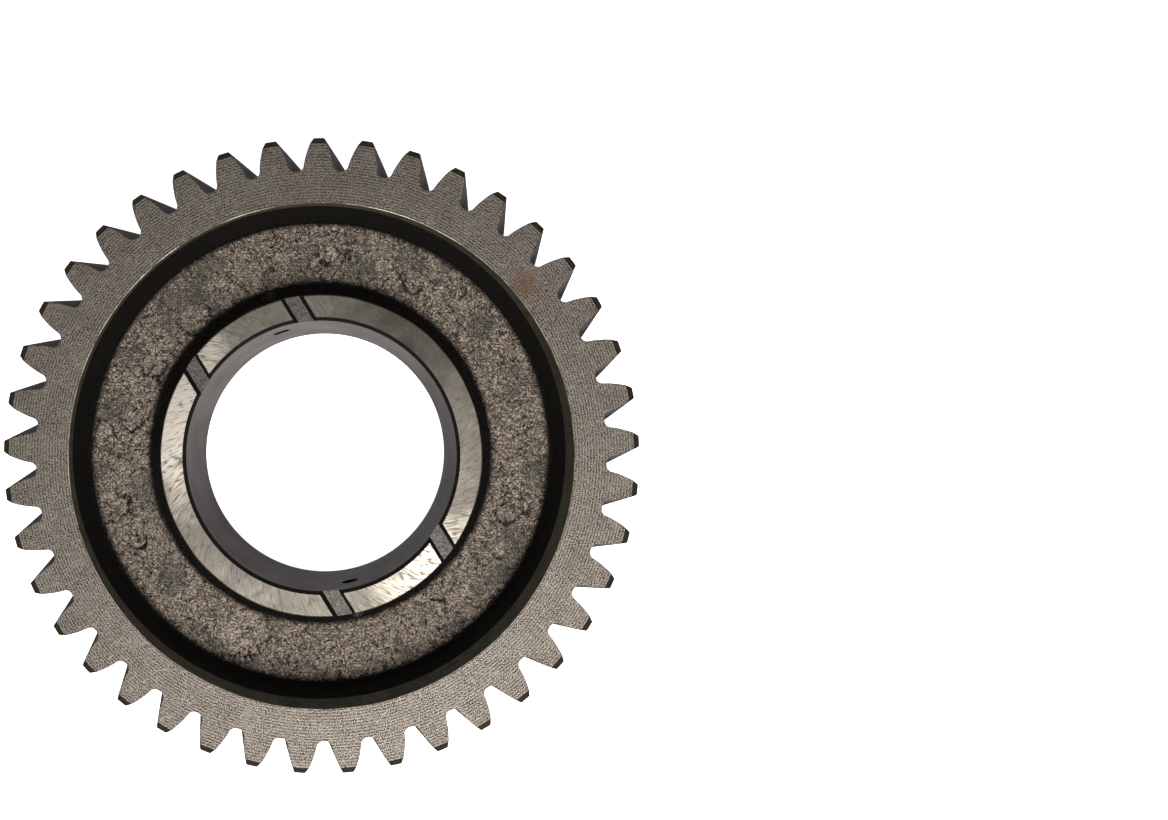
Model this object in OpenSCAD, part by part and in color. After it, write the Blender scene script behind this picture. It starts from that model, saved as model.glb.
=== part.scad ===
// Mainshaft gear: one forged and machined piece with a helical toothed rim,
// a thin web and a hub that turns on needle rollers.
// The rear thrust face of the hub lies on z = 0, the bore runs along z,
// and the front thrust face with its oil grooves looks up.

/* [Teeth] */
// Number of teeth
teeth = 41; // [38:1:60]
// Module, measured square to the teeth
module_n = 4; // [3.75:0.25:5]
// Pressure angle in degrees, measured square to the teeth
pressure_angle = 20; // [17.5:0.5:22.5]
// Helix angle in degrees at the pitch circle, right-hand
helix_angle = 10; // [0:0.5:18]
// Height of a tooth above the pitch circle, in modules
addendum = 1; // [0.8:0.05:1.1]
// Depth of a tooth gap below the pitch circle, in modules
dedendum = 1.32; // [1.2:0.01:1.4]
// Play that is taken off each tooth's thickness
backlash = 0.12; // [0:0.02:0.3]
// Radius of the fillet at the foot of each flank, where the gap has room for it
root_fillet = 1.8; // [0.8:0.1:1.8]
// Chamfer across the tooth tips at both ends
tip_chamfer = 1.45; // [0.6:0.05:2]
// Direction of one tooth on the front face, in degrees
tooth_phase = 90.6; // [0:0.1:360]

/* [Rim and web] */
// Width of the toothed rim
face_w = 32; // [29:0.5:44]
// Wall of the rim between the tooth gaps and the mouth of each pocket
rim_wall = 8.8; // [6.5:0.1:12]
// Chamfer turned around the mouth of the front pocket
lip_chamfer = 1.4; // [0.8:0.1:2.2]
// Thickness of the web
web_t = 9; // [6:0.5:12]
// Depth of the front pocket below the rim's front face
front_pocket = 15; // [11:0.5:17]
// Draft of the forged rim wall in degrees
rim_draft = 2.5; // [1:0.5:6]
// Fillet between the rim wall and the web
rim_fillet = 3; // [1.5:0.5:4]
// How far the forged pockets lie off the turned axis, to the right
forge_shift_x = -0.5; // [-0.6:0.1:0.6]
// How far the forged pockets lie off the turned axis, upwards in the front view
forge_shift_y = 0.7; // [-0.8:0.1:0.8]

/* [Hub] */
// Diameter of the bore that runs on the needle rollers
bore_d = 74; // [68:0.1:77]
// Chamfer at both ends of the bore
bore_chamfer = 0.9; // [0.4:0.1:1.5]
// Outer diameter of both thrust faces
hub_d = 87.3; // [84:0.1:90]
// Chamfer that leads from each thrust face to the hub's outer wall
hub_chamfer = 0.3; // [0.1:0.1:0.6]
// Draft of the hub's outer wall in degrees
hub_draft = 9; // [4:0.5:12]
// Fillet between the hub and the web
hub_fillet = 6.5; // [3:0.5:7]
// How far the front thrust face stands above the rim
front_step = 0.5; // [0.2:0.1:2]
// How far the rear thrust face stands above the rim
rear_step = 3; // [1:0.5:6]

/* [Oil grooves and holes] */
// Width of each groove at the thrust face
groove_w = 5.8; // [4:0.1:7]
// Width of each groove at its floor
groove_floor_w = 3.8; // [2.5:0.1:4]
// Depth of each groove below the thrust face
groove_depth = 1.6; // [0.8:0.1:2.5]
// Distance between the centre lines of the two grooves
groove_pitch = 32.9; // [26:0.1:40]
// How far the pair of grooves lies off the axis
groove_shift = -0.8; // [-2:0.1:2]
// Direction in which the grooves run, in degrees
groove_angle = -58.5; // [-90:0.5:90]
// Diameter of the two radial oil holes
oil_hole_d = 5; // [3:0.1:6]
// Depth of the oil holes' axes below the front thrust face
oil_hole_depth = 12; // [9:0.1:12.5]
// Direction of the first oil hole in degrees
oil_hole_angle_1 = 108.5; // [0:0.5:360]
// Direction of the second oil hole in degrees
oil_hole_angle_2 = -77.8; // [-180:0.1:0]

/* [Hidden] */
steel = [0.42, 0.40, 0.37];
over = 0.5;            // what a cutter reaches past the face that it opens
flank_steps = 7;       // straight pieces in each involute flank
fillet_steps = 3;      // straight pieces in each root fillet
twist_slices = 3;      // layers of each twisted tooth gap
$fn = 160;

// Gear geometry in the plane of the front face
transverse_module = module_n/cos(helix_angle);
transverse_angle = atan(tan(pressure_angle)/cos(helix_angle));
pitch_r = teeth*transverse_module/2;
base_r = pitch_r*cos(transverse_angle);
tip_r = pitch_r + addendum*module_n;
root_r = pitch_r - dedendum*module_n;
gap_r = tip_r + 2*over;
twist_per_mm = tan(helix_angle)/pitch_r*180/PI;

// Levels along the axis
rim_rear = rear_step;
rim_front = rear_step + face_w;
hub_front = rim_front + front_step;
web_front = rim_front - front_pocket;
web_rear = web_front - web_t;
rear_pocket = web_rear - rim_rear;

// Radii of the turned and forged walls
bore_r = bore_d/2;
hub_r = hub_d/2;
lip_r = root_r - rim_wall;
pocket_r = lip_r - lip_chamfer;
lip_reach = lip_chamfer + 2*norm([forge_shift_x, forge_shift_y]) + 2*over;

// Involute function of an angle, in degrees
function involute(a) = tan(a)*180/PI - a;
// Pressure angle at radius r on the involute
function angle_at(r) = acos(min(1, base_r/r));
// Half of a tooth gap at radius r, in degrees
function half_gap(r) = 90/teeth + backlash/(2*pitch_r)*180/PI
    + involute(angle_at(r)) - involute(transverse_angle);
// Point at radius r and angle a
function polar(r, a) = [r*cos(a), r*sin(a)];

// Root fillet: the radius asked for, or the largest that the gap has room for
root_half_gap = half_gap(max(root_r, base_r));
fillet_room = root_r*sin(root_half_gap)/(1 - sin(root_half_gap));
fillet = min(root_fillet, fillet_room);
fillet_r = root_r + fillet;
foot_r = max(sqrt(fillet_r*fillet_r - fillet*fillet), base_r);
fillet_a = half_gap(foot_r) - asin(fillet/fillet_r);
// Half of a gap from the root circle out past the tips, on the side of positive angles
function half_gap_points() = concat(
    [for (i = [0:fillet_steps - 1])
        polar(fillet_r, fillet_a) + polar(fillet, fillet_a + 180 - 90*i/fillet_steps)],
    [for (i = [0:flank_steps])
        let (r = foot_r + (gap_r - foot_r)*i/flank_steps) polar(r, half_gap(r))]);

// Whole outline of one tooth gap
module gap_outline() {
    upper = half_gap_points();
    last = len(upper) - 1;
    lower = [for (i = [0:last]) [upper[last - i][0], -upper[last - i][1]]];
    polygon(concat(upper, lower));
}

// All tooth gaps as one twisted cutter through the whole width of the rim
module tooth_gaps() {
    cut_h = face_w + 2*over;
    translate([0, 0, rim_rear - over])
        rotate([0, 0, tooth_phase + 180/teeth - twist_per_mm*(cut_h - over)])
            linear_extrude(height = cut_h, twist = -twist_per_mm*cut_h, slices = twist_slices,
                    segments = 1)
                for (i = [0:teeth - 1])
                    rotate([0, 0, 360/teeth*i])
                        gap_outline();
}

// Half section of the hub above the web, with y = 0 on the web.
// Its wall drafts outwards from the thrust face and ends in the fillet.
module hub_section(height) {
    wall_top = height - hub_chamfer;
    wall_r = hub_r + hub_chamfer;
    foot_x = wall_r + wall_top*tan(hub_draft);
    round_x = foot_x + hub_fillet*(1 - sin(hub_draft))/cos(hub_draft);
    difference() {
        polygon([
            [0, -web_t/2],
            [round_x, -web_t/2],
            [round_x, hub_fillet],
            [round_x - hub_fillet*cos(hub_draft), hub_fillet*(1 - sin(hub_draft))],
            [wall_r, wall_top],
            [hub_r, height],
            [0, height]
        ]);
        translate([round_x, hub_fillet])
            circle(hub_fillet);
    }
}

// Hub with its two thrust faces and the fillets that join it to the web
module hub() {
    rotate_extrude() {
        translate([0, web_front])
            hub_section(hub_front - web_front);
        translate([0, web_rear])
            mirror([0, 1])
                hub_section(web_rear);
    }
}

// One forged pocket, with z = 0 on the web, its wall drafted outwards and its corner filleted.
// It lies off the turned axis by the shift of the forging.
module pocket(depth) {
    wall_x = pocket_r - depth*tan(rim_draft);
    round_x = wall_x + rim_fillet*tan(rim_draft) - rim_fillet/cos(rim_draft);
    translate([forge_shift_x, forge_shift_y, 0])
        rotate_extrude() {
            polygon([
                [0, 0],
                [round_x, 0],
                [round_x, rim_fillet],
                [round_x + rim_fillet*cos(rim_draft), rim_fillet*(1 - sin(rim_draft))],
                [pocket_r + over*tan(rim_draft), depth + over],
                [0, depth + over]
            ]);
            intersection() {
                translate([round_x, rim_fillet])
                    circle(rim_fillet);
                square([pocket_r, rim_fillet]);
            }
        }
}

// Rim and web as turned from the forging, before the teeth are cut
module rim_and_web() {
    difference() {
        rotate_extrude()
            polygon([
                [0, rim_rear],
                [tip_r - tip_chamfer, rim_rear],
                [tip_r, rim_rear + tip_chamfer],
                [tip_r, rim_front - tip_chamfer],
                [tip_r - tip_chamfer, rim_front],
                [0, rim_front]
            ]);
        translate([0, 0, web_front])
            pocket(front_pocket);
        translate([0, 0, web_rear])
            mirror([0, 0, 1])
                pocket(rear_pocket);
        translate([0, 0, rim_front - lip_reach])
            cylinder(r1 = lip_r - lip_reach, r2 = lip_r + over, h = lip_reach + over);
    }
}

// Bore with a chamfer at both ends
module bore() {
    mouth_r = bore_r + bore_chamfer + over;
    mouth_h = bore_chamfer + over;
    translate([0, 0, -over])
        cylinder(r = bore_r, h = hub_front + 2*over);
    translate([0, 0, -over])
        cylinder(r1 = mouth_r, r2 = bore_r, h = mouth_h);
    translate([0, 0, hub_front - bore_chamfer])
        cylinder(r1 = bore_r, r2 = mouth_r, h = mouth_h);
}

// Two parallel oil grooves straight across the front thrust face
module oil_grooves() {
    slope = (groove_w - groove_floor_w)/2/groove_depth;
    top_w = groove_w + 2*over*slope;
    length = 3*hub_r;
    translate([0, 0, hub_front])
        rotate([0, 0, groove_angle])
            for (side = [-1, 1])
                translate([0, groove_shift + side*groove_pitch/2, 0])
                    rotate([90, 0, 90])
                        linear_extrude(height = length, center = true)
                            polygon([
                                [-groove_floor_w/2, -groove_depth],
                                [groove_floor_w/2, -groove_depth],
                                [top_w/2, over],
                                [-top_w/2, over]
                            ]);
}

// Radial oil holes through the wall of the hub
module oil_holes() {
    reach = hub_r + hub_fillet + 4*over;
    for (a = [oil_hole_angle_1, oil_hole_angle_2])
        translate([0, 0, hub_front - oil_hole_depth])
            rotate([0, 90, a])
                cylinder(d = oil_hole_d, h = reach);
}

// The whole gear
module mainshaft_gear() {
    color(steel)
        difference() {
            union() {
                rim_and_web();
                hub();
            }
            bore();
            oil_grooves();
            oil_holes();
            tooth_gaps();
        }
}

mainshaft_gear();
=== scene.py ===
"""Looks of a forged and machined mainshaft gear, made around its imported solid."""

import math

import bmesh
import bpy
from bpy.props import FloatProperty, FloatVectorProperty, IntProperty, PointerProperty
from mathutils import Matrix, Vector, noise


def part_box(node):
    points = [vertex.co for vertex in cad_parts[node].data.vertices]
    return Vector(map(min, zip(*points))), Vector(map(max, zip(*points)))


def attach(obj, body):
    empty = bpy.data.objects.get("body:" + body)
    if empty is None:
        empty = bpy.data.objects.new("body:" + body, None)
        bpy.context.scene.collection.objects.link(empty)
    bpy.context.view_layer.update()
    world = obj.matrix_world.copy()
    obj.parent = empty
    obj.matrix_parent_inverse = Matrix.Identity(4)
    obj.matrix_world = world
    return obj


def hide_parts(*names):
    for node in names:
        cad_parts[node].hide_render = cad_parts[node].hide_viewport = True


bl_info = {
    "name": "Mainshaft Gear",
    "version": (1, 0, 0),
    "blender": (4, 5, 0),
    "location": "3D View > Sidebar > Gear",
    "description": "Builds a helical mainshaft gear with its forged, turned and ground finishes",
    "category": "Add Mesh",
}

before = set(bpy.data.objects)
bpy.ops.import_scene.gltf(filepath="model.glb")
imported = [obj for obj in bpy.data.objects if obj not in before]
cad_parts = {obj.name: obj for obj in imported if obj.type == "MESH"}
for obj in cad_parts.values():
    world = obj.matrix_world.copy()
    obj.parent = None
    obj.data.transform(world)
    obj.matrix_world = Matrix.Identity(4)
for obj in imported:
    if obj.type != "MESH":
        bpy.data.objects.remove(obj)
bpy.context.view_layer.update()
GEAR_NODE = "mainshaft_gear"
GEAR_LOW, GEAR_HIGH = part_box(GEAR_NODE)
MM = 0.001

# Straight pieces in a root fillet and in an involute flank
FILLET_PARTS = 4
FLANK_PARTS = 4
# Points along one pitch of the tooth outline, and how many of them share one point on the hub
PITCH_POINTS = 2 * (FILLET_PARTS + FLANK_PARTS + 4)
HUB_STEP = 3


def linear(hex_colour):
    """Linear colour from an sRGB hex value."""
    channels = [int(hex_colour[i:i + 2], 16) / 255 for i in (0, 2, 4)]
    return [c / 12.92 if c <= 0.04045 else ((c + 0.055) / 1.055) ** 2.4 for c in channels]


def length(name, description, millimetres):
    """A length that a user can change, shown in the scene's units."""
    return FloatProperty(name=name, description=description, default=millimetres * MM,
                         unit="LENGTH", precision=5)


def angle(name, description, degrees):
    """An angle that a user can change."""
    return FloatProperty(name=name, description=description, default=math.radians(degrees),
                         subtype="ANGLE")


def colour(name, description, hex_colour):
    """A colour that a user can change."""
    return FloatVectorProperty(name=name, description=description, default=linear(hex_colour),
                               subtype="COLOR", min=0, max=1)


class GearTeeth(bpy.types.PropertyGroup):
    """Sizes of the hobbed teeth."""

    count: IntProperty(name="Teeth", description="Number of teeth", default=41, min=20)
    module: length("Module", "Module square to the teeth", 4)
    pressure: angle("Pressure angle", "Pressure angle square to the teeth", 20)
    helix: angle("Helix angle", "Right-hand helix angle at the pitch circle", 10)
    dedendum: length("Dedendum", "Depth of a gap below the pitch circle", 5.28)
    backlash: length("Backlash", "Play taken off each tooth", 0.12)
    root_fillet: length("Root fillet", "Radius at the foot of each flank", 1.8)
    tip_chamfer: length("Tip chamfer", "Width of the chamfer turned across the tips", 1.9)
    tip_drop: length("Tip drop", "How far that chamfer falls off towards the tips", 1.1)
    edge_break: length("Edge break", "Small bevel along the edges of the teeth", 0.15)
    phase: angle("Phase", "Direction of one tooth on the front face", 90.6)


class GearBody(bpy.types.PropertyGroup):
    """Sizes of the rim, web and hub."""

    rear_step: length("Rear step", "How far the rear thrust face stands above the rim", 3)
    front_step: length("Front step", "How far the front thrust face stands above the rim", 0.5)
    rim_wall: length("Rim wall", "Wall between the tooth gaps and the pocket's mouth", 8.8)
    lip: length("Lip chamfer", "Chamfer around the mouth of the front pocket", 1.4)
    web: length("Web", "Thickness of the web", 9)
    pocket: length("Front pocket", "Depth of the front pocket below the rim", 15)
    rim_draft: angle("Rim draft", "Draft of the forged rim wall", 2.5)
    rim_fillet: length("Rim fillet", "Fillet between the rim wall and the web", 3)
    shift_x: length("Forging shift X", "How far the pockets lie off the axis along X", -0.5)
    shift_y: length("Forging shift Y", "How far the pockets lie off the axis along Y", 0.7)
    lean_x: length("Forging lean X", "What the shift gains down to the front web along X", -0.3)
    lean_y: length("Forging lean Y", "What the shift gains down to the front web along Y", -0.15)
    bore: length("Bore radius", "Radius of the bore", 37)
    bore_chamfer: length("Bore chamfer", "Chamfer at both ends of the bore", 0.9)
    hub: length("Hub radius", "Outer radius of both thrust faces", 43.65)
    hub_chamfer: length("Hub chamfer", "Chamfer outside both thrust faces", 0.3)
    hub_draft: angle("Hub draft", "Draft of the hub's outer wall", 9)
    hub_fillet: length("Hub fillet", "Fillet between the hub and the web", 6.5)


class GearOil(bpy.types.PropertyGroup):
    """Sizes of the oil grooves and oil holes."""

    groove: length("Groove width", "Width of each groove at the thrust face", 5.8)
    groove_floor: length("Groove floor", "Width of each groove at its floor", 3.8)
    groove_depth: length("Groove depth", "Depth of each groove", 1.6)
    groove_pitch: length("Groove distance", "Distance between the two centre lines", 32.9)
    groove_shift: length("Groove shift", "How far the pair lies off the axis", -0.8)
    groove_angle: angle("Groove direction", "Direction in which the grooves run", -58.5)
    hole: length("Hole diameter", "Diameter of the two radial oil holes", 5)
    hole_depth: length("Hole depth", "Depth of the holes below the front thrust face", 12)
    hole_angle_1: angle("First hole", "Direction of the first oil hole", 108.5)
    hole_angle_2: angle("Second hole", "Direction of the second oil hole", -77.8)


class GearSkin(bpy.types.PropertyGroup):
    """Sizes of the wrinkled skin that the forging has on its web."""

    wrinkle: length("Wrinkle", "Size of the wrinkles", 1.9)
    wrinkle_height: length("Wrinkle height", "Height of the wrinkles", 0.65)
    wander: length("Wander", "How far the wrinkles wander", 0.9)
    swell: length("Swell", "Size of the broad swells", 9)
    swell_height: length("Swell height", "Height of the broad swells", 0.3)
    patch: length("Patch", "Size of the calm patches", 10)
    crack: length("Crack", "Distance between the larger cracks", 5)
    crack_depth: length("Crack depth", "Depth of the larger cracks", 0.4)


class GearFinish(bpy.types.PropertyGroup):
    """Colours of the finishes."""

    steel_light: colour("Turned steel", "Bright crests of the turned rim face", "807A73")
    steel_dark: colour("Turned steel, dull", "Dull valleys of the turned rim face", "28231D")
    ground: colour("Ground steel", "Ground thrust face", "B0AA9F")
    # Crest and crease colours of the web: the scale's own colour, with painted highlight on the
    # crests and painted shade in the creases
    scale_crest_and_highlight: colour("Scale, crests", "Crests of the forged web", "B8AA9C")
    scale_crease_and_shade: colour("Scale, creases", "Creases of the forged web", "14110F")
    scale_calm: colour("Scale, calm patches", "Smooth greyer patches of the web", "4B504C")
    # Near black: the walls' scale, darkened further as painted shade on the walls and fillets
    scale_wall_and_shade: colour("Scale on the walls", "Smooth black scale on the forged walls", "090705")
    lip_dark: colour("Lip", "Dark olive lip", "35332A")
    flank_dark: colour("Flanks", "Grey hobbed flanks", "827D7C")
    tip_steel: colour("Tips", "Brown-grey chamfers at the tips", "3A342D")
    bore_steel: colour("Bore", "Purple-grey honed bore", "9D9797")
    groove_floor: colour("Groove floor", "Rough grey floor of the oil grooves", "4B4845")
    rust: colour("Rust", "Light stains of rust", "5A3A22")


class GearSettings(bpy.types.PropertyGroup):
    """All sizes and colours of the gear."""

    teeth: PointerProperty(type=GearTeeth)
    body: PointerProperty(type=GearBody)
    oil: PointerProperty(type=GearOil)
    skin: PointerProperty(type=GearSkin)
    finish: PointerProperty(type=GearFinish)


class ToothForm:
    """Outline of the teeth in the plane of the rim's front face."""

    def __init__(self, teeth):
        self.count = teeth.count
        self.pitch = math.tau / teeth.count
        self.chamfer = teeth.tip_chamfer
        self.slope = teeth.tip_drop / teeth.tip_chamfer
        transverse_module = teeth.module / math.cos(teeth.helix)
        self.pressure = math.atan(math.tan(teeth.pressure) / math.cos(teeth.helix))
        self.pitch_r = teeth.count * transverse_module / 2
        self.base_r = self.pitch_r * math.cos(self.pressure)
        self.tip_r = self.pitch_r + teeth.module
        self.root_r = self.pitch_r - teeth.dedendum
        self.play = teeth.backlash / (2 * self.pitch_r)
        self.twist = math.tan(teeth.helix) / self.pitch_r
        self.first_gap = teeth.phase + self.pitch / 2
        half = self.half_pitch(teeth.root_fillet, teeth.edge_break)
        mirrored = [(r, self.pitch - a) for r, a in half[-2:0:-1]]
        self.points = [Vector((r * math.cos(a), r * math.sin(a))) for r, a in half + mirrored]
        self.normals = [self.normal(i) for i in range(len(self.points))]

    def half_gap(self, radius):
        """Half of a tooth gap at a radius, as an angle."""
        at_radius = math.acos(min(1, self.base_r / radius))
        involute = math.tan(at_radius) - at_radius
        at_pitch = math.tan(self.pressure) - self.pressure
        return self.pitch / 4 + self.play + involute - at_pitch

    def half_pitch(self, fillet, edge):
        """Radius and angle of the points from the middle of a gap to the middle of a tooth."""
        centre_r = self.root_r + fillet
        lean = math.asin(fillet / centre_r)
        foot_r = max(centre_r * math.cos(lean), self.base_r)
        centre = self.half_gap(foot_r) - lean
        points = [(self.root_r, 0)]
        for i in range(FILLET_PARTS):
            turn = math.pi - (math.pi / 2 - lean) * i / FILLET_PARTS
            x = centre_r + fillet * math.cos(turn)
            y = fillet * math.sin(turn)
            points.append((math.hypot(x, y), centre + math.atan2(y, x)))
        top_r = self.tip_r - self.chamfer
        for i in range(FLANK_PARTS + 1):
            radius = foot_r + (top_r - foot_r) * i / FLANK_PARTS
            points.append((radius, self.half_gap(radius)))
        corner_r = self.tip_r - edge
        points.append((corner_r, self.half_gap(corner_r)))
        points.append((self.tip_r, self.half_gap(self.tip_r) + edge / self.tip_r))
        points.append((self.tip_r, self.pitch / 2))
        return points

    def normal(self, index):
        """Direction at a point of the outline that leads out of the steel."""
        last = len(self.points) - 1
        turn = Matrix.Rotation(self.pitch, 2)
        before = self.points[index - 1] if index else turn.inverted() @ self.points[last]
        after = self.points[index + 1] if index < last else turn @ self.points[0]
        along = (after - before).normalized()
        return Vector((along.y, -along.x))

    def at(self, station, inset):
        """Radius and angle of a station, moved into the steel by the inset."""
        gap, index = divmod(station, PITCH_POINTS)
        point = self.points[index] - self.normals[index] * inset
        return point.length, self.first_gap + gap * self.pitch + math.atan2(point.y, point.x)

    def even_angle(self, station):
        """Angle of a station where the stations are spread evenly."""
        return self.first_gap + station * self.pitch / PITCH_POINTS

    def drop(self, radius):
        """How far the tip chamfer lies below the rim's face at a radius."""
        return self.slope * max(0, radius - (self.tip_r - self.chamfer))


def even_shares(parts):
    """Even shares of a way: the first part's end, and so on up to 1."""
    return [i / parts for i in range(1, parts + 1)]


class GearSection:
    """Levels and radii of the rim, web and hub."""

    def __init__(self, body, tooth):
        self.body = body
        self.rim_rear = GEAR_LOW.z + body.rear_step
        self.hub_front = GEAR_HIGH.z
        self.rim_front = self.hub_front - body.front_step
        self.web_front = self.rim_front - body.pocket
        self.web_rear = self.web_front - body.web
        self.lip_r = tooth.root_r - body.rim_wall
        self.pocket_r = self.lip_r - body.lip
        self.shift = Vector((body.shift_x, body.shift_y))
        self.lean = Vector((body.lean_x, body.lean_y))

    def turned_centre(self, height):
        """Centre of everything that was turned: the gear's axis."""
        return Vector((0, 0))

    def pocket_centre(self, height):
        """Centre of a pocket's wall or web at a height."""
        if height < self.web_front:
            return self.shift
        return self.shift + self.lean * (self.rim_front - height) / self.body.pocket

    def hub_centre(self, height):
        """Centre of the hub's forged wall at a height, which nears the axis towards its faces."""
        if height < self.web_front:
            return self.shift * min(1, (height - GEAR_LOW.z) / (self.web_rear - GEAR_LOW.z))
        share = (self.hub_front - height) / (self.hub_front - self.web_front)
        return (self.shift + self.lean) * share

    def web_face(self, front):
        """Height of one face of the web, and the direction out of it."""
        return (self.web_front, 1) if front else (self.web_rear, -1)

    def hub_height(self, front):
        """Height of one thrust face above the web."""
        return self.hub_front - self.web_front if front else self.web_rear - GEAR_LOW.z

    def pocket_wall(self, front, parts):
        """Radius and height along one pocket's wall and fillet, from the mouth down to the web."""
        level, up = self.web_face(front)
        depth = abs((self.rim_front if front else self.rim_rear) - level)
        draft, fillet = self.body.rim_draft, self.body.rim_fillet
        foot_r = self.pocket_r - depth * math.tan(draft)
        centre_r = foot_r + fillet * math.tan(draft) - fillet / math.cos(draft)
        wall_end = fillet * (1 - math.sin(draft))
        points = []
        for share in even_shares(parts):
            rise = depth + (wall_end - depth) * share
            points.append((foot_r + rise * math.tan(draft), level + up * rise))
        for share in even_shares(parts + 2):
            turn = draft + (math.pi / 2 - draft) * share
            points.append((centre_r + fillet * math.cos(turn),
                           level + up * fillet * (1 - math.sin(turn))))
        return points

    def hub_foot(self, front):
        """Radius at which the hub's fillet meets the web."""
        wall_top = self.hub_height(front) - self.body.hub_chamfer
        wall_foot = self.body.hub + self.body.hub_chamfer + wall_top * math.tan(self.body.hub_draft)
        slope = (1 - math.sin(self.body.hub_draft)) / math.cos(self.body.hub_draft)
        return wall_foot + self.body.hub_fillet * slope

    def hub_fillet_point(self, front, share):
        """Radius and height on the hub's fillet: share 0 lies on the web, 1 on the hub's wall."""
        level, up = self.web_face(front)
        fillet = self.body.hub_fillet
        turn = (math.pi / 2 - self.body.hub_draft) * share
        return (self.hub_foot(front) - fillet * math.sin(turn),
                level + up * fillet * (1 - math.cos(turn)))

    def hub_wall_point(self, front, below):
        """Radius and height on the hub's wall, at a distance below its thrust face."""
        level, up = self.web_face(front)
        height = self.hub_height(front)
        drop = max(0, below - self.body.hub_chamfer)
        radius = self.body.hub + self.body.hub_chamfer + drop * math.tan(self.body.hub_draft)
        return radius, level + up * (height - below)


# Faces of the gear by finish, in the order of its material slots
ZONES = ("rim_face", "tip", "flank", "lip", "wall", "web", "thrust_face", "edge", "bore", "mouth",
         "groove", "groove_wall", "hole")
ZONE = {name: index for index, name in enumerate(ZONES)}


def start_loop(mesh, count, place):
    """A closed loop of edges with a numbered point for each station."""
    station = mesh.verts.layers.int["station"]
    made = bmesh.ops.create_circle(mesh, segments=count, radius=1)["verts"]
    for index, vert in enumerate(made):
        vert[station] = index
        vert.co = place(index)
    fresh = set(made)
    return [e for e in mesh.edges if fresh.issuperset(e.verts)]


def grow(mesh, loop, zone, place):
    """Extrudes a loop, puts each new point where place says, and returns the new loop."""
    made = bmesh.ops.extrude_edge_only(mesh, edges=loop)["geom"]
    station = mesh.verts.layers.int["station"]
    fresh = {item for item in made if isinstance(item, bmesh.types.BMVert)}
    for vert in fresh:
        vert.co = place(vert[station])
    for item in made:
        if isinstance(item, bmesh.types.BMFace):
            item.material_index = ZONE[zone]
    return [item for item in made if isinstance(item, bmesh.types.BMEdge)
            and fresh.issuperset(item.verts)]


def join_loops(mesh, first, second, zone):
    """Bridges two loops of edges."""
    for face in bmesh.ops.bridge_loops(mesh, edges=first + second)["faces"]:
        face.material_index = ZONE[zone]


class GearRings:
    """Places of the gear's rings of points, station by station."""

    def __init__(self, tooth, section):
        self.tooth = tooth
        self.section = section
        self.stations = tooth.count * PITCH_POINTS
        self.hub_stations = self.stations // HUB_STEP

    def twisted(self, radius, turn, height):
        """Point that the helix has carried round on its way down from the front face."""
        turn += self.tooth.twist * (height - self.section.rim_front)
        return Vector((radius * math.cos(turn), radius * math.sin(turn), height))

    def outline(self, inset, front, reach=math.inf):
        """Ring along the tooth outline at one end of the rim, with nothing past the reach."""
        def place(station):
            radius, turn = self.tooth.at(station, inset)
            drop = 0 if radius > reach else self.tooth.drop(radius)
            height = self.section.rim_front - drop if front else self.section.rim_rear + drop
            return self.twisted(min(radius, reach), turn, height)
        return place

    def flank(self, share, below):
        """Ring along the flanks, between the front end at 0 and the rear end at 1."""
        def place(station):
            radius, turn = self.tooth.at(station, 0)
            drop = self.tooth.drop(radius) + below
            top = self.section.rim_front - drop
            bottom = self.section.rim_rear + drop
            return self.twisted(radius, turn, top + (bottom - top) * share)
        return place

    def circle(self, radius, height, centre_at=None, coarse=False):
        """Round ring, about the axis or about what centre_at gives for its height."""
        centre = (centre_at or self.section.turned_centre)(height)
        step = HUB_STEP if coarse else 1

        def place(station):
            turn = self.tooth.even_angle(station * step)
            return Vector((centre.x + radius * math.cos(turn), centre.y + radius * math.sin(turn),
                           height))
        return place

    def lip_foot(self, station):
        """Point where the turned lip runs out into the forged wall."""
        section = self.section
        turn = self.tooth.even_angle(station)
        ray = Vector((math.cos(turn), math.sin(turn)))
        depth = section.body.lip
        passes = 4
        for _ in range(passes):
            wall_r = section.pocket_r - depth * math.tan(section.body.rim_draft)
            point = section.shift + ray * wall_r
            depth = section.lip_r - point.length
        return Vector((point.x, point.y, section.rim_front - depth))


def build_rim(mesh, rings, edge):
    """Front face, teeth and rear face of the rim. Returns the loops at both pockets' mouths."""
    tooth, section = rings.tooth, rings.section
    turned_r = tooth.tip_r - tooth.chamfer
    under_teeth = 0.9 * MM
    flank_slices = 8
    mouths = []
    start = start_loop(mesh, rings.stations, rings.outline(edge, True))
    loop = start
    for share in range(flank_slices + 1):
        zone = "flank" if share else "edge"
        loop = grow(mesh, loop, zone, rings.flank(share / flank_slices, edge))
    rear = grow(mesh, loop, "edge", rings.outline(edge, False))
    for front, outline in ((True, start), (False, rear)):
        height = section.rim_front if front else section.rim_rear
        loop = grow(mesh, outline, "tip", rings.outline(edge, front, turned_r))
        loop = grow(mesh, loop, "rim_face", rings.circle(tooth.root_r - under_teeth, height))
        if front:
            burr = edge / 2
            loop = grow(mesh, loop, "rim_face", rings.circle(section.lip_r + burr, height))
            loop = grow(mesh, loop, "edge", rings.circle(section.lip_r - burr, height - burr))
            loop = grow(mesh, loop, "lip", rings.lip_foot)
        else:
            mouth_r = section.pocket_r + edge
            centre = section.pocket_centre
            loop = grow(mesh, loop, "rim_face", rings.circle(mouth_r, height, centre))
            loop = grow(mesh, loop, "edge", rings.circle(section.pocket_r, height + edge, centre))
        mouths.append(loop)
    return mouths


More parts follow.
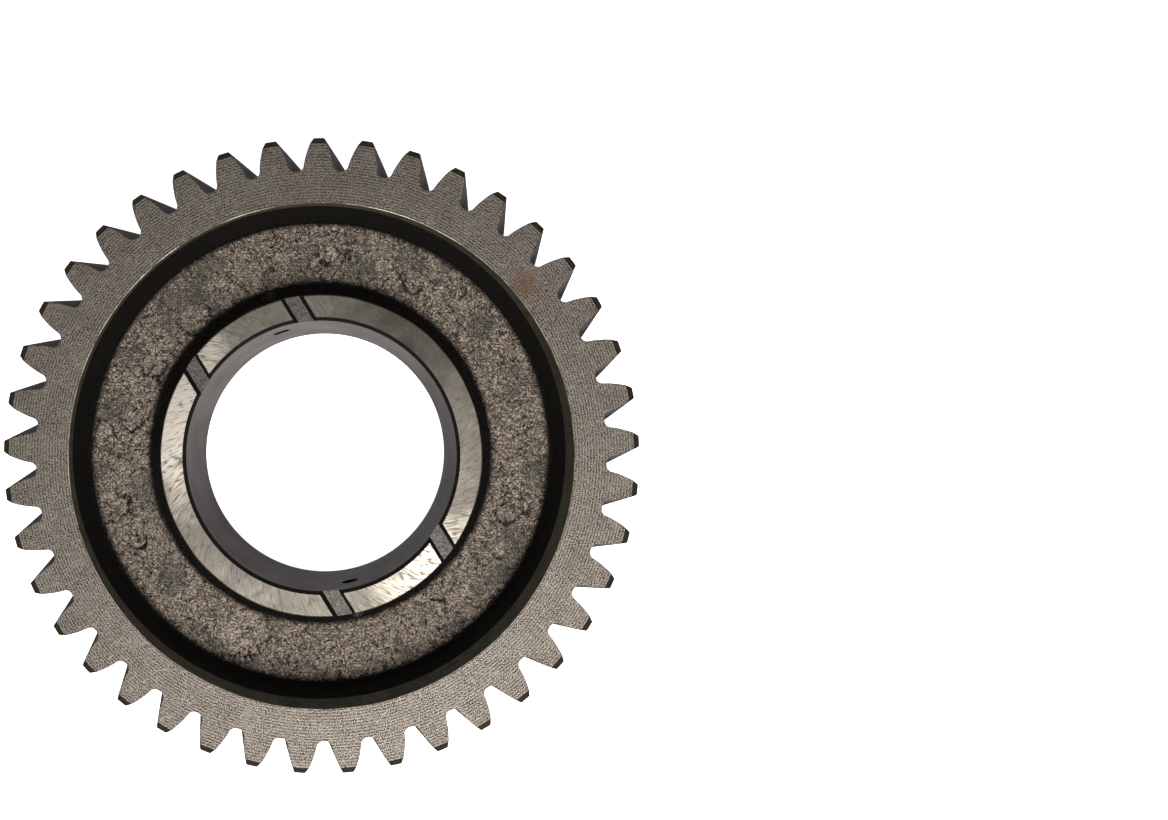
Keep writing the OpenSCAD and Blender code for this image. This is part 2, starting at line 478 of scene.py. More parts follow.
def build_front_pocket(mesh, rings, loop):
    """Wall, fillet and web of the front pocket, up to the middle of the hub's fillet."""
    section = rings.section
    web_step = 0.4 * MM
    wall_parts, fillet_parts = 4, 10
    fillet_share = 0.6
    wall_foot = section.web_front + 0.4 * section.body.rim_fillet
    points = section.pocket_wall(True, wall_parts)
    outer, inner = points[-1][0], section.hub_foot(True)
    for share in even_shares(round((outer - inner) / web_step)):
        points.append((outer + (inner - outer) * share, section.web_front))
    for radius, height in points:
        zone = "wall" if height > wall_foot else "web"
        loop = grow(mesh, loop, zone, rings.circle(radius, height, section.pocket_centre))
    for share in even_shares(fillet_parts):
        radius, height = section.hub_fillet_point(True, fillet_share * share)
        loop = grow(mesh, loop, "web", rings.circle(radius, height, section.hub_centre))
    return loop


def build_hub(mesh, rings, oil):
    """Hub, bore and the whole rear pocket. Returns the loops at both ends."""
    section, body = rings.section, rings.section.body
    axis, forged, pocket = section.turned_centre, section.hub_centre, section.pocket_centre
    face_r = body.bore + body.bore_chamfer
    bore_front = section.hub_front - oil.groove_depth
    bore_rear = GEAR_LOW.z + body.bore_chamfer
    wall_foot = section.hub_front - section.hub_fillet_point(True, 1)[1]
    wall_middle = 0.5 * (wall_foot + oil.groove_depth)
    rear_wall = section.pocket_wall(False, 3)
    inner, outer = section.hub_foot(False), rear_wall[-1][0]
    bore_parts, rear_web_parts = 5, 12
    web_share = 0.7

    steps = [("wall", *section.hub_fillet_point(True, share), forged) for share in (0.8, 0.9, 1.0)]
    for below in (wall_middle, oil.groove_depth, body.hub_chamfer):
        steps.append(("wall", *section.hub_wall_point(True, below), forged))
    steps.append(("edge", body.hub, section.hub_front, axis))
    for share in (0.33, 0.67, 1):
        radius = body.hub + (face_r - body.hub) * share
        steps.append(("thrust_face", radius, section.hub_front, axis))
    steps.append(("mouth", body.bore, section.hub_front - body.bore_chamfer, axis))
    for share in (0, *even_shares(bore_parts)):
        steps.append(("bore", body.bore, bore_front + (bore_rear - bore_front) * share, axis))
    steps.append(("mouth", face_r, GEAR_LOW.z, axis))
    steps.append(("thrust_face", body.hub, GEAR_LOW.z, axis))
    for below in (body.hub_chamfer, 0.5 * section.hub_height(False)):
        steps.append(("wall", *section.hub_wall_point(False, below), forged))
    for share in (1, 0.8, 0.6, 0.4, 0.2, 0):
        zone = "web" if share < web_share else "wall"
        steps.append((zone, *section.hub_fillet_point(False, share), forged))
    for share in even_shares(rear_web_parts):
        steps.append(("web", inner + (outer - inner) * share, section.web_rear, pocket))
    for radius, height in reversed(rear_wall[:-1]):
        steps.append(("wall", radius, height, pocket))

    radius, height = section.hub_fillet_point(True, web_share)
    start = start_loop(mesh, rings.hub_stations, rings.circle(radius, height, forged, True))
    loop = start
    for zone, radius, height, centre_at in steps:
        loop = grow(mesh, loop, zone, rings.circle(radius, height, centre_at, True))
    return start, loop


def press_grooves(mesh, section, oil):
    """Cuts the hub's front along the grooves' edges and sinks what lies between them."""
    across = Vector((-math.sin(oil.groove_angle), math.cos(oil.groove_angle), 0))
    middles = [oil.groove_shift + side * oil.groove_pitch / 2 for side in (-1, 1)]
    floor = section.hub_front - oil.groove_depth
    half_top, half_floor = oil.groove / 2, oil.groove_floor / 2
    margin = 3 * MM
    snap = 0.0001 * MM
    facing_up = 0.2
    hub_faces = [f for f in mesh.faces if f.calc_center_median().z > floor
                 and f.calc_center_median().xy.length < section.body.hub + margin]
    for middle in middles:
        for offset in (-half_top, -half_floor, half_floor, half_top):
            plane = across * (middle + offset)
            # A dict keeps its order, so that each run cuts the faces in the same order
            geometry = dict.fromkeys(item for f in hub_faces for item in (f, *f.edges, *f.verts))
            made = bmesh.ops.bisect_plane(mesh, geom=list(geometry), dist=snap,
                                          plane_co=plane, plane_no=across)["geom"]
            hub_faces = [item for item in made if isinstance(item, bmesh.types.BMFace)]
    for vert in {v for f in hub_faces for v in f.verts}:
        for middle in middles:
            off = abs(vert.co.dot(across) - middle)
            if off < half_top:
                slope = max(0, off - half_floor) / (half_top - half_floor)
                vert.co.z = min(vert.co.z, floor + oil.groove_depth * slope)
    for face in hub_faces:
        middle = min(abs(face.calc_center_median().dot(across) - m) for m in middles)
        face.normal_update()
        if middle < half_top and face.normal.z > facing_up:
            face.material_index = ZONE["groove" if middle < half_floor else "groove_wall"]


def drill_oil_holes(gear, section, oil):
    """Cuts the two radial oil holes with cylinders."""
    cutter_mesh = bmesh.new()
    over = 2 * MM
    sides = 40
    radius = oil.hole / 2
    reach = section.body.hub + section.body.hub_fillet + over
    level = section.hub_front - oil.hole_depth
    for turn in (oil.hole_angle_1, oil.hole_angle_2):
        place = (Matrix.Translation((0, 0, level)) @ Matrix.Rotation(turn, 4, "Z")
                 @ Matrix.Rotation(math.pi / 2, 4, "Y") @ Matrix.Translation((0, 0, reach / 2)))
        bmesh.ops.create_cone(cutter_mesh, cap_ends=True, segments=sides, radius1=radius,
                              radius2=radius, depth=reach, matrix=place)
    for face in cutter_mesh.faces:
        face.material_index = ZONE["hole"]
    cutter = new_object("oil_hole_cutter", cutter_mesh, gear.data.materials)
    cut = gear.modifiers.new("Oil holes", "BOOLEAN")
    cut.operation = "DIFFERENCE"
    cut.solver = "EXACT"
    cut.object = cutter
    drilled = bpy.data.meshes.new_from_object(
        gear.evaluated_get(bpy.context.evaluated_depsgraph_get()))
    gear.modifiers.remove(cut)
    old = gear.data
    gear.data = drilled
    bpy.data.meshes.remove(old)
    bpy.data.meshes.remove(cutter.data)


# Flakes that stand up from the web's skin, as seen from the front: place, radius and rise in mm,
# and the direction in degrees in which their edge curls up most
FLAKES = (
    (-23.6, -51.0, 7.6, 0.48, -40),
    (-54.0, -24.9, 2.3, 0.35, -60),
    (-54.6, -24.4, 1.1, 0.32, 0),
    (-58.9, -15.2, 2.9, 0.32, 20),
    (-61.5, -21.0, 1.5, 0.24, 180),
    (-49.0, 26.0, 3.4, 0.35, -90),
    (-45.0, 21.0, 2.4, 0.32, -150),
    (-55.5, 10.5, 3.2, 0.29, -90),
    (-64.0, 5.5, 3.6, 0.29, 60),
    (-36.5, 39.5, 4.6, 0.32, -30),
    (2.5, 60.0, 4.8, 0.38, -80),
    (26.0, 50.5, 3.4, 0.26, -120),
    (53.0, -17.5, 2.6, 0.29, -100),
    (33.0, -44.0, 2.2, 0.26, 60),
)

# Patches where the skin lies calm and smooth: place and radius in mm
CALM_PATCHES = (
    (-61.5, 14.0, 5.5),
    (-50.0, -10.0, 6.5),
    (-47.5, -17.5, 4.0),
    (-13.0, -49.5, 4.0),
    (-37.0, 46.0, 6.0),
    (56.0, 22.0, 5.0),
)


def smooth_step(value, start, end):
    """Rises smoothly from 0 at the start to 1 at the end."""
    share = min(1, max(0, (value - start) / (end - start)))
    return share * share * (3 - 2 * share)


def lumps(point, size, offset=(0, 0, 0)):
    """Smooth lumps and hollows of a size, between -1 and 1. The offset gives others of the kind."""
    return noise.noise(point / size + Vector(offset))


def flake_form(point):
    """Rise of the flakes at a point, and how deep the point lies in the crease around one."""
    ragged = 0.35 * lumps(point, 2.4 * MM) + 0.2 * lumps(point, 1.1 * MM)
    curl_inside, curl_width = 0.6, 0.7
    crease_outside, crease_width, crease_reach = 0.15, 0.45, 1.2
    least_curl = 0.25
    rise, crease = 0, 0
    for x, y, radius, lift, direction in FLAKES:
        away = (point.xy - Vector((x, y)) * MM) / MM
        edge = away.length - radius * (1 - ragged)
        if edge > crease_reach:
            continue
        turn = math.atan2(away.y, away.x) - math.radians(direction)
        curled = least_curl + (1 - least_curl) * smooth_step(math.cos(turn), -0.4, 0.6)
        plate = smooth_step(-edge, -0.2, 0.3)
        curl = max(0, 1 - abs(edge + curl_inside) / curl_width)
        rise = max(rise, lift * (0.6 * plate + 0.9 * curled * curl))
        crease = max(crease, curled * min(1, 1.6 - abs(edge - crease_outside) / crease_width))
    return rise * MM, crease


def calm_share(point, skin):
    """How calm the skin is at a point: 0 where it is wrinkled, 1 where it is smooth."""
    calm = smooth_step(lumps(point, skin.patch, (4, 2, 8)), 0.22, 0.45)
    ragged = 0.5 * lumps(point, 1.8 * MM)
    for x, y, radius in CALM_PATCHES:
        away = (point.xy - Vector((x, y)) * MM).length / (radius * MM)
        calm = max(calm, 1 - smooth_step(away + ragged, 0.55, 1.1))
    return calm


def skin_relief(point, skin):
    """Wrinkles at a point, from 0 in a crease to 1 on a lump, and the depth share of a crack."""
    steep, flat_top = 3.2, 0.7
    crack_width = 0.045
    # Fixed offsets for the three directions, because noise_vector starts from the time of day
    apart = ((2.3, 5.7, 9.1), (7.6, 3.4, 4.8), (5.2, 8.9, 2.5))
    drift = Vector([lumps(point, 2.2 * skin.wrinkle, offset) for offset in apart])
    place = point + drift * skin.wander
    wrinkles = 0
    for share, size, offset in ((0.6, 1, (0, 0, 0)), (0.4, 0.6, (3, 7, 1))):
        fold = abs(lumps(place, size * skin.wrinkle, offset))
        wrinkles += share * min(1, steep * fold) ** flat_top
    line = abs(lumps(place, skin.crack, (11, 5, 2)))
    cracked = smooth_step(lumps(point, 1.8 * skin.crack, (1, 9, 4)), -0.12, 0.12)
    return wrinkles, cracked * min(1, max(0, 1.5 - line / crack_width))


def wrinkle_skin(mesh, section, skin):
    """Raises the forged skin on both webs, fading out on the walls, and stores what its colours
    need:
    the relief, with painted shade in creases, cracks and around flakes and painted light on raised
    flakes, how calm the skin is, and how black the fillets are, partly black scale and partly
    painted shade."""
    forged = {ZONE["web"], ZONE["wall"]}
    stores = [mesh.verts.layers.float.new(name) for name in ("relief", "calm", "soot_and_shade")]
    soot_rise = 0.7 * MM
    fade, least = 2.0 * MM, 0.15
    mesh.normal_update()
    moves = []
    for vert in mesh.verts:
        if any(face.material_index not in forged for face in vert.link_faces):
            continue
        front = vert.co.z > (section.web_front + section.web_rear) / 2
        level, up = section.web_face(front)
        above = max(0, up * (vert.co.z - level))
        weight = max(least, 1 - above / fade)
        wrinkles, crack = skin_relief(vert.co, skin)
        rise, crease = flake_form(vert.co) if front else (0, 0)
        calm = calm_share(vert.co, skin) * (1 - crease)
        ragged = 0.15 * MM * lumps(vert.co, 2.5 * MM)
        swell = skin.swell_height * lumps(vert.co, skin.swell)
        crack = max(crack * (1 - calm), crease)
        height = ((1 - 0.75 * calm) * skin.wrinkle_height * (wrinkles - 0.5) + swell + rise
                  - skin.crack_depth * crack)
        # Relief for the colour only: painted shade in the creases, in the cracks and around each
        # flake, painted light on the wrinkles' tops and on the raised flakes
        relief = 0.15 + 0.85 * wrinkles - 0.45 * crack - 0.35 * crease + 0.5 * rise / MM
        # Black over the fillets, partly black scale and partly painted shade, rising over the first
        # 0.7 mm above the web
        soot_and_shade = smooth_step(above + ragged, 0, soot_rise)
        for store, value in zip(stores, (relief, calm, soot_and_shade)):
            vert[store] = value
        moves.append((vert, vert.normal * height * weight))
    for vert, move in moves:
        vert.co += move


def new_object(name, mesh, materials=()):
    """A scene object from a bmesh, which is freed."""
    data = bpy.data.meshes.new(name)
    mesh.to_mesh(data)
    mesh.free()
    for material in materials:
        data.materials.append(material)
    made = bpy.data.objects.new(name, data)
    bpy.context.scene.collection.objects.link(made)
    return made


def sharpen(mesh, limit):
    """Marks edges above the limit and between finishes as sharp, and leaves the skin smooth."""
    forged = {ZONE["web"], ZONE["wall"]}
    for face in mesh.faces:
        face.smooth = True
    for line in mesh.edges:
        zones = {face.material_index for face in line.link_faces}
        same = len(zones) == 1 and line.calc_face_angle(0) < limit
        line.smooth = same or zones <= forged


def build_gear(size, materials):
    """The gear's whole mesh as one object."""
    tooth = ToothForm(size.teeth)
    section = GearSection(size.body, tooth)
    rings = GearRings(tooth, section)
    edge = size.teeth.edge_break
    same_place = 0.004 * MM
    sharp_angle = math.radians(28)
    mesh = bmesh.new()
    mesh.verts.layers.int.new("station")
    front_mouth, rear_mouth = build_rim(mesh, rings, edge)
    pocket_end = build_front_pocket(mesh, rings, front_mouth)
    hub_start, hub_end = build_hub(mesh, rings, size.oil)
    join_loops(mesh, pocket_end, hub_start, "web")
    join_loops(mesh, hub_end, rear_mouth, "wall")
    press_grooves(mesh, section, size.oil)
    bmesh.ops.remove_doubles(mesh, verts=mesh.verts, dist=same_place)
    bmesh.ops.recalc_face_normals(mesh, faces=mesh.faces)
    gear = new_object("gear", mesh, materials)
    drill_oil_holes(gear, section, size.oil)
    mesh = bmesh.new()
    mesh.from_mesh(gear.data)
    wrinkle_skin(mesh, section, size.skin)
    sharpen(mesh, sharp_angle)
    mesh.to_mesh(gear.data)
    mesh.free()
    return gear


def add_node(material, kind, inputs=None, stops=None, **options):
    """Adds a node, sets its options, colour stops and sockets, and links what is given a socket."""
    tree = material.node_tree
    node = tree.nodes.new(kind)
    for name, value in options.items():
        setattr(node, name, value)
    for index, (position, value) in enumerate(stops or ()):
        ramp = node.color_ramp.elements
        stop = ramp[index] if index < len(ramp) else ramp.new(position)
        stop.position = position
        stop.color = (*value, 1)
    for socket, value in (inputs or {}).items():
        if isinstance(value, bpy.types.NodeSocket):
            tree.links.new(value, node.inputs[socket])
        else:
            node.inputs[socket].default_value = value
    return node


def new_material(name, plain=None):
    """A material with a surface shader and what is the same all over its surface, by socket.
    Returns it with its shader and object coordinates."""
    material = bpy.data.materials.new(name)
    material.use_nodes = True
    material.node_tree.nodes.clear()
    shader = add_node(material, "ShaderNodeBsdfPrincipled", plain)
    add_node(material, "ShaderNodeOutputMaterial", {"Surface": shader.outputs["BSDF"]})
    place = add_node(material, "ShaderNodeTexCoord").outputs["Object"]
    return material, shader, place


def tinted(tone, share):
    """A colour made lighter or darker."""
    return [channel * share for channel in tone]


def mixed(first, second, share):
    """A colour on the way from the first to the second."""
    return [(1 - share) * a + share * b for a, b in zip(first, second)]


def weighted_sum(material, patterns, start=0.0):
    """Adds up patterns, each times its weight or another pattern, from a start value."""
    total = start
    for pattern, weight in patterns:
        total = add_node(material, "ShaderNodeMath", {0: pattern, 1: weight, 2: total},
                         operation="MULTIPLY_ADD").outputs[0]
    return total


def around_axis(material, place):
    """Place as distance from the gear's axis, way around it, and height."""
    way_radius = 60 * MM
    parts = add_node(material, "ShaderNodeSeparateXYZ", {"Vector": place})
    flat = add_node(material, "ShaderNodeVectorMath", {0: place, 1: (1, 1, 0)},
                    operation="MULTIPLY")
    radius = add_node(material, "ShaderNodeVectorMath", {0: flat.outputs["Vector"]},
                      operation="LENGTH")
    turn = add_node(material, "ShaderNodeMath", {0: parts.outputs["Y"], 1: parts.outputs["X"]},
                    operation="ARCTAN2")
    way = weighted_sum(material, [(turn.outputs[0], way_radius)])
    around = add_node(material, "ShaderNodeCombineXYZ", {
        "X": radius.outputs["Value"], "Y": way, "Z": parts.outputs["Z"]})
    return around.outputs["Vector"]


def streaks(material, place, sizes, turn=0.0, detail=1.0):
    """Noise with its own size along each axis, after a turn. Three equal sizes give a grain."""
    drawn = add_node(material, "ShaderNodeMapping", {
        "Vector": place, "Rotation": (0, 0, turn), "Scale": sizes}, vector_type="TEXTURE")
    return add_node(material, "ShaderNodeTexNoise", {
        "Vector": drawn.outputs["Vector"], "Scale": 1.0, "Detail": detail}).outputs["Fac"]


def creased(material, place, sizes, width, turn=0.0):
    """Round-topped lumps with thin creases between them: 0 in a crease, 1 on top of a lump."""
    swell = streaks(material, place, sizes, turn, 0.0)
    fold = add_node(material, "ShaderNodeMath", {0: swell, 1: 0.5}, operation="PINGPONG")
    lump = add_node(material, "ShaderNodeMapRange", {
        "Value": fold.outputs[0], "From Min": 0.5, "From Max": 0.5 - width})
    return add_node(material, "ShaderNodeMath", {0: lump.outputs["Result"], 1: 0.6},
                    operation="POWER").outputs[0]


def spot(material, place, centre, radius):
    """Ragged soft mask around a place in mm: 1 in its middle, 0 from its radius outwards."""
    reach = radius * MM
    away = add_node(material, "ShaderNodeVectorMath", {0: place, 1: Vector(centre) * MM},
                    operation="DISTANCE").outputs["Value"]
    torn = streaks(material, place, [reach / 3] * 3, detail=4.0)
    ragged = weighted_sum(material, ((away, 1.0), (torn, reach)), -0.5 * reach)
    return add_node(material, "ShaderNodeMapRange", {
        "Value": ragged, "From Min": reach, "From Max": 0.2 * reach},
        interpolation_type="SMOOTHSTEP").outputs["Result"]


def scratches(material, place, turn, long):
    """Stray thin scratches square to a direction, as a mask."""
    thin = 0.2 * MM
    marks = streaks(material, place, (thin, long, long), turn, 0.0)
    return add_node(material, "ShaderNodeMapRange", {
        "Value": marks, "From Min": 0.72, "From Max": 0.8}).outputs["Result"]


def dress(material, shader, tone, colours, bump, roughness, layers=()):
    """Colours the shader along a tone under further layers, with bump and roughness to match,
    and returns the material."""
    ramp = add_node(material, "ShaderNodeValToRGB", {"Fac": tone}, stops=colours)
    surface = ramp.outputs["Color"]
    for mask, tint in layers:
        surface = add_node(material, "ShaderNodeMix", {0: mask, 6: surface, 7: (*tint, 1)},
                           data_type="RGBA").outputs[2]
    height, strength, distance = bump
    relief = add_node(material, "ShaderNodeBump", {
        "Height": height, "Strength": strength, "Distance": distance})
    rough = add_node(material, "ShaderNodeMapRange", {
        "Value": tone, "To Min": roughness[0], "To Max": roughness[1]})
    tree = material.node_tree
    tree.links.new(surface, shader.inputs["Base Color"])
    tree.links.new(relief.outputs["Normal"], shader.inputs["Normal"])
    tree.links.new(rough.outputs["Result"], shader.inputs["Roughness"])
    return material


def turned_steel(finish):
    """Rim face as the lathe left it: broken rings under a peppery grain, stray light scratches,
    a stain of rust at the upper right and a brown cast at the top."""
    material, shader, place = new_material("turned_steel", {"Metallic": 0.9})
    around = around_axis(material, place)
    far = 9 * MM
    # A wave of scale 1 repeats every tenth of pi
    feed = 0.8 * MM
    rings = add_node(material, "ShaderNodeTexWave", {
        "Vector": around, "Scale": math.pi / (10 * feed), "Distortion": 1.2, "Detail": 2.0,
        "Detail Scale": 40 * MM}).outputs["Fac"]
    dashes = streaks(material, around, (0.3 * MM, 0.8 * MM, far))
    pepper = streaks(material, place, [0.28 * MM] * 3, detail=1.0)
    clouds = streaks(material, place, [6 * MM] * 3, detail=3.0)
    marks = [(scratches(material, place, math.radians(turn), 3 * MM), 0.4)
             for turn in (35, 80, 130)]
    tone = weighted_sum(material, [
        (rings, 0.28), (dashes, 0.6), (pepper, 2.6), (clouds, 0.25), *marks], -1.37)
    rust = weighted_sum(material, [(spot(material, place, (55.6, 46.7, 35), 6), dashes)])
    brown = weighted_sum(material, [(spot(material, place, (-4, 71, 35), 11), 0.12)])
    middle = mixed(finish.steel_dark, finish.steel_light, 0.5)
    return dress(material, shader, tone, (
        (0.28, finish.steel_dark), (0.5, middle), (0.76, finish.steel_light)),
        (tone, 0.5, 0.05 * MM), (0.68, 0.54),
        ((rust, finish.rust), (brown, finish.rust)))


def dark_steel(name, tone_colour, sizes):
    """Cut steel that heat treatment has dulled, with the lines of its tool and rubbed specks."""
    material, shader, place = new_material(name, {"Metallic": 0.8})
    around = around_axis(material, place)
    lines = streaks(material, around, sizes, detail=2.0)
    grain = streaks(material, place, [0.5 * MM] * 3, detail=2.0)
    clouds = streaks(material, place, [4 * MM] * 3, detail=3.0)
    tone = weighted_sum(material, ((lines, 0.5), (grain, 0.5), (clouds, 0.5)), -0.25)
    return dress(material, shader, tone, (
        (0.25, tinted(tone_colour, 0.5)), (0.75, tinted(tone_colour, 1.6))),
        (tone, 0.5, 0.05 * MM), (0.65, 0.5))


def rubbed_edge(finish):
    """Thin bright line where an edge was broken and has been handled."""
    material, shader, place = new_material("rubbed_edge", {"Metallic": 0.9})
    grain = streaks(material, place, [0.8 * MM] * 3, detail=4.0)
    stretches = streaks(material, place, [9 * MM] * 3)
    tone = weighted_sum(material, ((grain, 0.6), (stretches, 1.4)), -0.6)
    return dress(material, shader, tone, (
        (0.2, finish.lip_dark), (0.65, tinted(finish.ground, 0.8))),
        (grain, 0.3, 0.04 * MM), (0.55, 0.45))


def forged_skin(finish):
    """Forged skin of the web: crumpled beige folds with painted highlight on their tops over thin
    black creases of painted shade, smoother and greyer in calm patches, and black where it climbs
    the fillets, partly black scale and partly painted shade."""
    material, shader, place = new_material("forged_skin", {
        "Metallic": 0.5, "Specular IOR Level": 0.3})
    relief, calm, soot_and_shade = [
        add_node(material, "ShaderNodeAttribute", attribute_name=name).outputs["Fac"]
        for name in ("relief", "calm", "soot_and_shade")]
    fold = 0.85 * MM
    bend = add_node(material, "ShaderNodeTexNoise", {
        "Vector": place, "Scale": 1 / fold, "Detail": 2.0}).outputs["Color"]
    bent = add_node(material, "ShaderNodeVectorMath", {
        0: bend, 1: [fold] * 3, 2: place}, operation="MULTIPLY_ADD").outputs["Vector"]
    folds = creased(material, bent, [fold] * 3, 0.3)
    crumbs = creased(material, bent, [0.5 * fold] * 3, 0.3)
    grain = streaks(material, place, [0.3 * MM] * 3, detail=1.0)
    height = weighted_sum(material, ((folds, 0.75), (crumbs, 0.25)))
    # Tone: painted shade in the folds' creases and painted highlight on their tops, with the stored
    # relief and a random grain
    tone = weighted_sum(material, ((height, 1.0), (grain, 0.95), (relief, 0.6)), -0.82)
    clouds = streaks(material, place, [7 * MM] * 3, detail=2.0)
    grey = weighted_sum(material, ((calm, 0.4), (clouds, 1.2)), -0.6)
    middle = mixed(finish.scale_crease_and_shade, finish.scale_crest_and_highlight, 0.35)
    # Grey patches are the skin's own; the black over the fillets is partly scale and partly painted
    # shade
    return dress(material, shader, tone, (
        (0.15, finish.scale_crease_and_shade), (0.5, middle), (0.9, finish.scale_crest_and_highlight)),
        (height, 1.0, 0.85 * MM), (0.7, 0.45),
        ((grey, finish.scale_calm), (soot_and_shade, finish.scale_wall_and_shade)))


def black_scale_and_shade(finish):
    """Smooth black scale on the forged walls, with a faint olive cast, darkened further as painted
    shade.
    """
    material, shader, place = new_material("black_scale_and_shade", {"Specular IOR Level": 0.15})
    grain = streaks(material, place, [1.2 * MM] * 3, detail=5.0)
    return dress(material, shader, grain, (
        (0.35, tinted(finish.scale_wall_and_shade, 0.7)), (0.75, tinted(finish.scale_wall_and_shade, 1.8))),
        (grain, 0.4, 0.15 * MM), (0.75, 0.85))


def ground_steel(finish):
    """Ground thrust face: fine arcs that cross the ring at a slant, with painted highlights at the
    left and lower right, painted shade at the top, and small dings."""
    material, shader, place = new_material("ground_steel", {"Metallic": 1.0})
    around = around_axis(material, place)
    slant = math.radians(-45)
    arcs = streaks(material, around, (0.3 * MM, 6 * MM, 9 * MM), slant, 2.0)
    grooves = creased(material, around, (0.75 * MM, 7 * MM, 9 * MM), 0.1, slant)
    clouds = streaks(material, place, [7 * MM] * 3, detail=3.0)
    grain = streaks(material, place, [0.5 * MM] * 3, detail=2.0)
    # Painted highlights: spots that brighten the colour at the left and lower right, and painted
    # shade that dulls it at the upper right
    painted_highlight_left = spot(material, place, (-39, 12, 35.5), 32)
    painted_highlight_right = spot(material, place, (31, -31, 35.5), 22)
    painted_shade_top = spot(material, place, (24, 34, 35.5), 27)
    dings = add_node(material, "ShaderNodeMapRange", {
        "Value": streaks(material, place, (1.1 * MM, 1.1 * MM, 9 * MM), 0.0, 2.0),
        "From Min": 0.73, "From Max": 0.78})
    # Painted sheen: the spots lift the tone and the contrast of the ground lines
    painted_sheen = weighted_sum(material, (
        (painted_highlight_left, 0.92), (painted_highlight_right, 0.45), (painted_shade_top, -0.32)), 0.25)
    lines = weighted_sum(material, ((arcs, 0.9), (grooves, 0.7)), -1.0)
    tone = weighted_sum(material, (
        (lines, painted_sheen), (clouds, 0.35), (grain, 0.25), (painted_sheen, 0.65),
        (dings.outputs["Result"], -0.3)), -0.13)
    return dress(material, shader, tone, (
        (0.0, tinted(finish.ground, 0.08)), (0.4, tinted(finish.ground, 0.3)),
        (0.95, finish.ground)),
        (tone, 0.35, 0.03 * MM), (0.65, 0.36))


def honed_bore(finish):
    """Hardened and honed bore: smooth, purple-grey, with faint rings of the hone."""
    material, shader, place = new_material("honed_bore", {
        "Metallic": 0.3, "Specular IOR Level": 0.3})
    around = around_axis(material, place)
    rings = streaks(material, around, (9 * MM, 20 * MM, 0.5 * MM), detail=2.0)
    clouds = streaks(material, place, [12 * MM] * 3, detail=3.0)
    tone = weighted_sum(material, ((rings, 0.4), (clouds, 0.6)))
    return dress(material, shader, tone, (
        (0.3, tinted(finish.bore_steel, 0.75)), (0.7, tinted(finish.bore_steel, 1.3))),
        (rings, 0.15, 0.02 * MM), (0.6, 0.5))


def rough_groove(finish):
    """Floor of the oil grooves, left rough and grey."""
    material, shader, place = new_material("rough_groove", {"Metallic": 0.6})
    grain = streaks(material, place, [0.55 * MM] * 3, detail=2.0)
    return dress(material, shader, grain, (
        (0.3, tinted(finish.groove_floor, 0.4)), (0.7, tinted(finish.groove_floor, 1.5))),
        (grain, 0.8, 0.15 * MM), (0.7, 0.5))


class GEAR_OT_mainshaft_gear(bpy.types.Operator):
    """Add the helical gear with its forged, turned, ground and honed faces"""

    bl_idname = "gear.mainshaft_gear"
    bl_label = "Mainshaft gear"
    bl_options = {"REGISTER", "UNDO"}

    def execute(self, context):
        size = context.scene.mainshaft_gear
        finish = size.finish
        far, fine = 8 * MM, 0.45 * MM
        around_it, across_it = (fine, far, fine), (far, far, 2 * fine)
        # Painted shade: flank steel darkened almost to black inside the oil holes, on the groove
        # walls and on the bore's chamfers
        dark = dark_steel("painted_shade_recess", tinted(finish.flank_dark, 0.06), across_it)
        finishes = {
            "rim_face": turned_steel(finish),
            "tip": dark_steel("chamfered_tip", finish.tip_steel, around_it),
            "flank": dark_steel("hobbed_flank", finish.flank_dark, across_it),
            "lip": dark_steel("turned_lip", finish.lip_dark, around_it),
            "wall": black_scale_and_shade(finish),
            "web": forged_skin(finish),
            "thrust_face": ground_steel(finish),
            "edge": rubbed_edge(finish),
            "bore": honed_bore(finish),
            "mouth": dark,
            "groove": rough_groove(finish),
            "groove_wall": dark,
            "hole": dark,
        }
        gear = build_gear(size, [finishes[zone] for zone in ZONES])
        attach(gear, "root")
        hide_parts(GEAR_NODE)
        return {"FINISHED"}


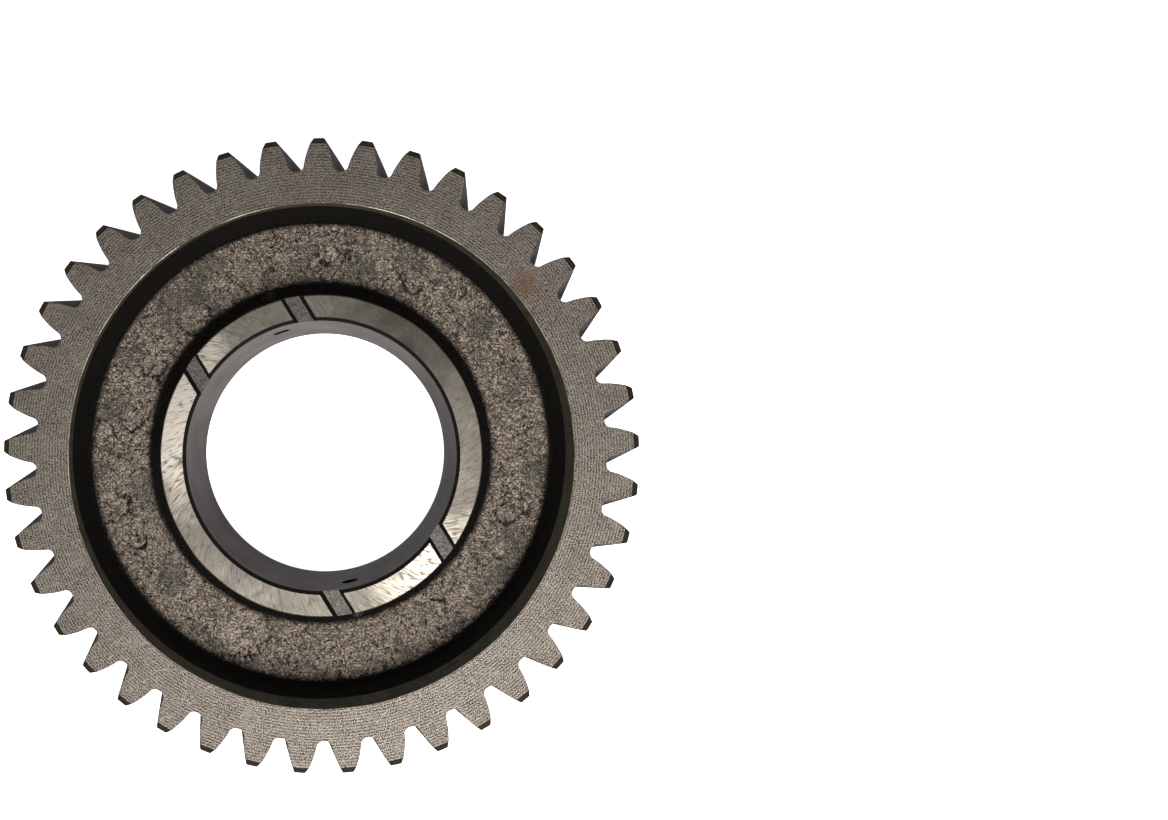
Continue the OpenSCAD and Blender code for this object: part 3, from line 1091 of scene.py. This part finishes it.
class GEAR_OT_studio(bpy.types.Operator):
    """Add the pale floor, the soft lights and the camera above the gear"""

    bl_idname = "gear.studio"
    bl_label = "Studio"
    bl_options = {"REGISTER", "UNDO"}

    def execute(self, context):
        self.add_floor()
        self.add_world()
        self.add_area("key_light", (0.06, -0.22, 0.55), size=0.3, power=5.2, hex_colour="FFFBF6")
        self.add_area("fill_light", (-0.3, 0.35, 0.6), size=0.8, power=0.5, hex_colour="F4F7FF")
        self.add_camera()
        return {"FINISHED"}

    def add_floor(self):
        """Pale floor that the rear thrust face stands on."""
        mesh = bmesh.new()
        bmesh.ops.create_grid(mesh, x_segments=1, y_segments=1, size=1.5)
        material, _, _ = new_material("pale_floor", {
            "Base Color": (*linear("F7F7F7"), 1), "Roughness": 0.9,
            "Emission Color": (1, 1, 1, 1), "Emission Strength": 1.0})
        floor = new_object("floor", mesh, [material])
        floor.visible_diffuse = False
        floor.visible_glossy = False

    def add_world(self):
        """Pale surroundings that grow darker towards the floor."""
        world = bpy.data.worlds.new("studio")
        world.use_nodes = True
        back = world.node_tree.nodes["Background"]
        back.inputs["Color"].default_value = (*linear("F2F2F2"), 1)
        way = add_node(world, "ShaderNodeTexCoord").outputs["Generated"]
        up = add_node(world, "ShaderNodeSeparateXYZ", {"Vector": way}).outputs["Z"]
        strength = add_node(world, "ShaderNodeMapRange", {
            "Value": up, "From Min": -0.1, "From Max": 0.7, "To Min": 0.14, "To Max": 0.33})
        world.node_tree.links.new(strength.outputs["Result"], back.inputs["Strength"])
        bpy.context.scene.world = world

    def add_area(self, name, place, size, power, hex_colour):
        """Square soft light that looks at the gear."""
        light = bpy.data.lights.new(name, "AREA")
        light.size = size
        light.energy = power
        light.color = linear(hex_colour)
        lamp = bpy.data.objects.new(name, light)
        lamp.location = place
        lamp.rotation_euler = (-Vector(place)).to_track_quat("-Z", "Y").to_euler()
        bpy.context.scene.collection.objects.link(lamp)

    def add_camera(self):
        """Camera that looks straight down, with the gear at the left of its picture."""
        pixels_wide, pixels_high = 1168, 820
        seen_below = (352, 428)
        pixels_per_unit = 881
        over_gear = (8.36 * MM, 7.63 * MM, 275.6 * MM)
        camera = bpy.data.cameras.new("camera")
        camera.sensor_width = 36
        camera.lens = pixels_per_unit / pixels_wide * camera.sensor_width
        camera.shift_x = (pixels_wide / 2 - seen_below[0]) / pixels_wide
        camera.shift_y = (seen_below[1] - pixels_high / 2) / pixels_wide
        camera.clip_start = 0.01
        viewer = bpy.data.objects.new("camera", camera)
        viewer.location = over_gear
        bpy.context.scene.collection.objects.link(viewer)
        scene = bpy.context.scene
        scene.camera = viewer
        scene.view_settings.view_transform = "Standard"


class GEAR_PT_panel(bpy.types.Panel):
    """Lists the steps that build the gear"""

    bl_idname = "GEAR_PT_panel"
    bl_label = "Mainshaft Gear"
    bl_space_type = "VIEW_3D"
    bl_region_type = "UI"
    bl_category = "Gear"

    def draw(self, context):
        for step in STEPS:
            self.layout.operator(step.bl_idname)


STEPS = (GEAR_OT_mainshaft_gear, GEAR_OT_studio)
CLASSES = (GearTeeth, GearBody, GearOil, GearSkin, GearFinish, GearSettings, *STEPS, GEAR_PT_panel)


def register():
    """Adds the classes and the scene's settings to Blender."""
    for item in CLASSES:
        bpy.utils.register_class(item)
    bpy.types.Scene.mainshaft_gear = PointerProperty(type=GearSettings)


def unregister():
    """Takes the classes and settings out again."""
    del bpy.types.Scene.mainshaft_gear
    for item in reversed(CLASSES):
        bpy.utils.unregister_class(item)


def main():
    register()
    bpy.ops.gear.mainshaft_gear()
    bpy.ops.gear.studio()


if __name__ == "__main__":
    main()
